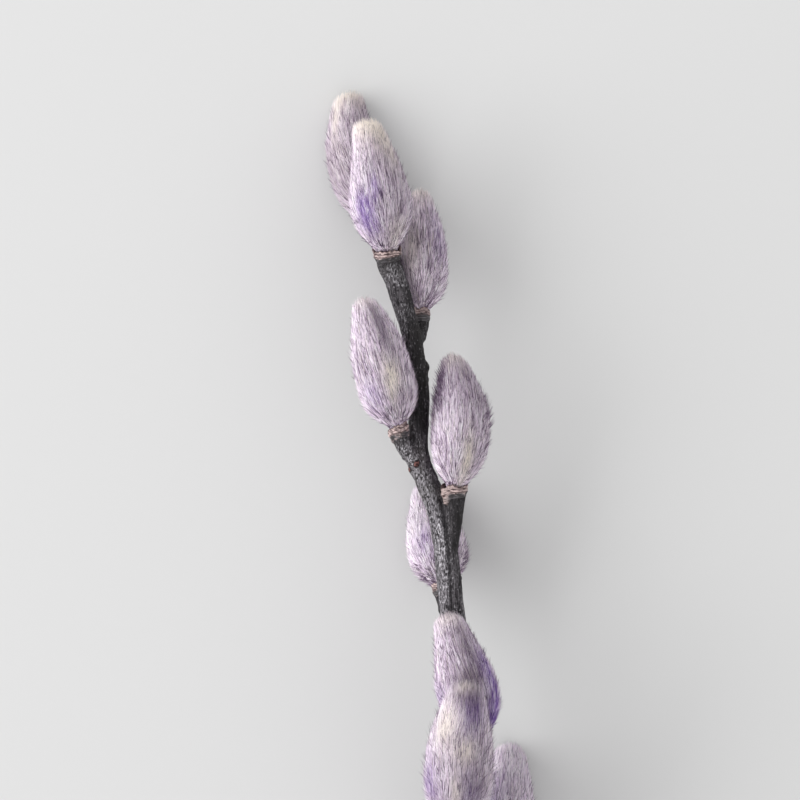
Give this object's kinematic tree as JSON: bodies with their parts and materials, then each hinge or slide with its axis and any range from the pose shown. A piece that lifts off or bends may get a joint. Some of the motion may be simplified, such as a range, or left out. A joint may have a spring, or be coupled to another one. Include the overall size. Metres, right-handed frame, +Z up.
{
  "type": "willow twig",
  "caption": "Cut willow twig with furry lilac spring catkins on short woody spurs, lying on a flat surface; a natural decoration for vases, wreaths and still lifes.",
  "frame": {"origin": "middle of the lying twig's outline, on the surface that it rests on", "axes": "+Z up from the surface, +Y along the twig from its cut end to its top, +X to the right seen from above"},
  "size_m": [0.0324, 0.1562, 0.0331],
  "materials": {
    "bark": "matt dark grey bark with pale flecks and long wrinkles",
    "bud_scale": "dry, ragged pinkish brown scale",
    "fur": "silky combed hairs, dyed lilac with pale tips"
  },
  "bodies": {
    "root": {"stem": "bark", "bud_cup_01": "bud_scale", "bud_cup_02": "bud_scale", "bud_cup_03": "bud_scale", "bud_cup_04": "bud_scale", "bud_cup_05": "bud_scale", "bud_cup_06": "bud_scale", "bud_cup_07": "bud_scale", "bud_cup_08": "bud_scale", "bud_cup_09": "bud_scale", "bud_cup_10": "bud_scale", "bud_cup_11": "bud_scale", "catkin_01": "fur", "catkin_02": "fur", "catkin_03": "fur", "catkin_04": "fur", "catkin_05": "fur", "catkin_06": "fur", "catkin_07": "fur", "catkin_08": "fur", "catkin_09": "fur", "catkin_10": "fur", "catkin_11": "fur"}
  },
  "joints": []
}
